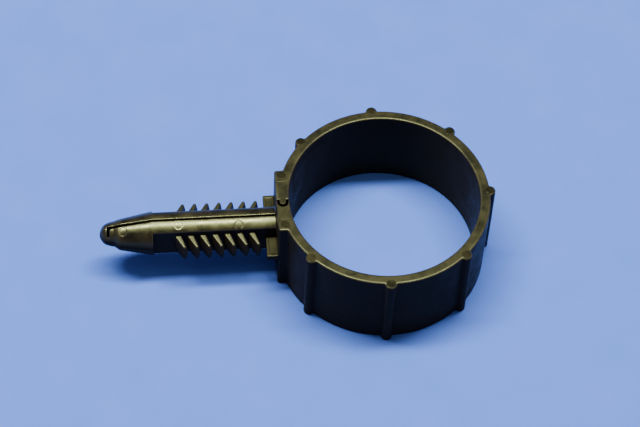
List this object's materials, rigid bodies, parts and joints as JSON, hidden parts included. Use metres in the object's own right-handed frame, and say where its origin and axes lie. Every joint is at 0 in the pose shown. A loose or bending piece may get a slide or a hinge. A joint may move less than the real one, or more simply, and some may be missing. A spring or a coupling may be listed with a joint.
{
  "type": "spring ring clamp with push-in stem",
  "caption": "Springy split ring that grips a round hose or conduit, on a slit push-in stem whose flexing barbs hold it in a round panel hole.",
  "frame": {"origin": "on the ring's axis, at the ring's lower edge", "axes": "+Z along the ring's axis, +X away from the stem, so that the stem points along -X"},
  "size_m": [0.0667, 0.0374, 0.016],
  "materials": {
    "nylon_ring": "satin black moulded nylon",
    "nylon_stem": "satin black moulded nylon",
    "nylon_barbs": "satin black moulded nylon"
  },
  "bodies": {
    "rear_half": {"rear_stem_half": "nylon_stem", "rear_nose_half": "nylon_stem", "nose_cap": "nylon_stem", "nose_web": "nylon_stem", "rear_flange_bar": "nylon_ring", "rear_end_block": "nylon_ring", "alignment_tongue": "nylon_ring", "rear_band_stub": "nylon_ring", "rear_rib_3": "nylon_ring"},
    "front_half": {"front_stem_half": "nylon_stem", "front_nose_half": "nylon_stem", "front_flange_bar": "nylon_ring", "front_end_block": "nylon_ring", "front_band_stub": "nylon_ring", "front_rib_3": "nylon_ring"},
    "rear_band": {"rear_band": "nylon_ring", "rear_rib_1": "nylon_ring", "rear_rib_2": "nylon_ring", "back_rib": "nylon_ring"},
    "front_band": {"front_band": "nylon_ring", "front_rib_1": "nylon_ring", "front_rib_2": "nylon_ring"},
    "rear_barb_1": {"rear_barb_1": "nylon_barbs"},
    "rear_barb_2": {"rear_barb_2": "nylon_barbs"},
    "rear_barb_3": {"rear_barb_3": "nylon_barbs"},
    "rear_barb_4": {"rear_barb_4": "nylon_barbs"},
    "rear_barb_5": {"rear_barb_5": "nylon_barbs"},
    "rear_barb_6": {"rear_barb_6": "nylon_barbs"},
    "rear_barb_7": {"rear_barb_7": "nylon_barbs"},
    "front_barb_1": {"front_barb_1": "nylon_barbs"},
    "front_barb_2": {"front_barb_2": "nylon_barbs"},
    "front_barb_3": {"front_barb_3": "nylon_barbs"},
    "front_barb_4": {"front_barb_4": "nylon_barbs"},
    "front_barb_5": {"front_barb_5": "nylon_barbs"},
    "front_barb_6": {"front_barb_6": "nylon_barbs"},
    "front_barb_7": {"front_barb_7": "nylon_barbs"}
  },
  "joints": [
    {"name": "back_flex", "type": "hinge", "parent": "rear_band", "child": "front_band", "pos_m": [0.01775, 0, 0.008], "axis": [0, 0, 1], "range_deg": [0, 6.5], "stiffness_Nm_per_rad": 0.3},
    {"name": "rear_band_flex", "type": "hinge", "parent": "rear_half", "child": "rear_band", "pos_m": [-0.01319, 0.01188, 0.008], "axis": [0, 0, -1], "range_deg": [0, 6.2]},
    {"name": "front_band_flex", "type": "hinge", "parent": "front_band", "child": "front_half", "pos_m": [-0.01319, -0.01188, 0.008], "axis": [0, 0, -1], "range_deg": [0, 6.9]},
    {"name": "rear_barb_1_flex", "type": "hinge", "parent": "rear_half", "child": "rear_barb_1", "pos_m": [-0.0347, 0.0022, 0.008], "axis": [0, 0, -1], "range_deg": [0, 25], "stiffness_Nm_per_rad": 0.06},
    {"name": "rear_barb_2_flex", "type": "hinge", "parent": "rear_half", "child": "rear_barb_2", "pos_m": [-0.03264, 0.0022, 0.008], "axis": [0, 0, -1], "range_deg": [0, 25], "stiffness_Nm_per_rad": 0.06},
    {"name": "rear_barb_3_flex", "type": "hinge", "parent": "rear_half", "child": "rear_barb_3", "pos_m": [-0.03058, 0.0022, 0.008], "axis": [0, 0, -1], "range_deg": [0, 25], "stiffness_Nm_per_rad": 0.06},
    {"name": "rear_barb_4_flex", "type": "hinge", "parent": "rear_half", "child": "rear_barb_4", "pos_m": [-0.02852, 0.0022, 0.008], "axis": [0, 0, -1], "range_deg": [0, 25], "stiffness_Nm_per_rad": 0.06},
    {"name": "rear_barb_5_flex", "type": "hinge", "parent": "rear_half", "child": "rear_barb_5", "pos_m": [-0.02646, 0.0022, 0.008], "axis": [0, 0, -1], "range_deg": [0, 25], "stiffness_Nm_per_rad": 0.06},
    {"name": "rear_barb_6_flex", "type": "hinge", "parent": "rear_half", "child": "rear_barb_6", "pos_m": [-0.0244, 0.0022, 0.008], "axis": [0, 0, -1], "range_deg": [0, 25], "stiffness_Nm_per_rad": 0.06},
    {"name": "rear_barb_7_flex", "type": "hinge", "parent": "rear_half", "child": "rear_barb_7", "pos_m": [-0.02234, 0.0022, 0.008], "axis": [0, 0, -1], "range_deg": [0, 25], "stiffness_Nm_per_rad": 0.06},
    {"name": "front_barb_1_flex", "type": "hinge", "parent": "front_half", "child": "front_barb_1", "pos_m": [-0.0347, -0.0022, 0.008], "axis": [0, 0, 1], "range_deg": [0, 25], "stiffness_Nm_per_rad": 0.06},
    {"name": "front_barb_2_flex", "type": "hinge", "parent": "front_half", "child": "front_barb_2", "pos_m": [-0.03264, -0.0022, 0.008], "axis": [0, 0, 1], "range_deg": [0, 25], "stiffness_Nm_per_rad": 0.06},
    {"name": "front_barb_3_flex", "type": "hinge", "parent": "front_half", "child": "front_barb_3", "pos_m": [-0.03058, -0.0022, 0.008], "axis": [0, 0, 1], "range_deg": [0, 25], "stiffness_Nm_per_rad": 0.06},
    {"name": "front_barb_4_flex", "type": "hinge", "parent": "front_half", "child": "front_barb_4", "pos_m": [-0.02852, -0.0022, 0.008], "axis": [0, 0, 1], "range_deg": [0, 25], "stiffness_Nm_per_rad": 0.06},
    {"name": "front_barb_5_flex", "type": "hinge", "parent": "front_half", "child": "front_barb_5", "pos_m": [-0.02646, -0.0022, 0.008], "axis": [0, 0, 1], "range_deg": [0, 25], "stiffness_Nm_per_rad": 0.06},
    {"name": "front_barb_6_flex", "type": "hinge", "parent": "front_half", "child": "front_barb_6", "pos_m": [-0.0244, -0.0022, 0.008], "axis": [0, 0, 1], "range_deg": [0, 25], "stiffness_Nm_per_rad": 0.06},
    {"name": "front_barb_7_flex", "type": "hinge", "parent": "front_half", "child": "front_barb_7", "pos_m": [-0.02234, -0.0022, 0.008], "axis": [0, 0, 1], "range_deg": [0, 25], "stiffness_Nm_per_rad": 0.06}
  ],
  "couplings": [
    {"joint": "rear_band_flex", "follows": "back_flex", "ratio": 0.91},
    {"joint": "front_band_flex", "follows": "back_flex", "ratio": 1.0192}
  ]
}
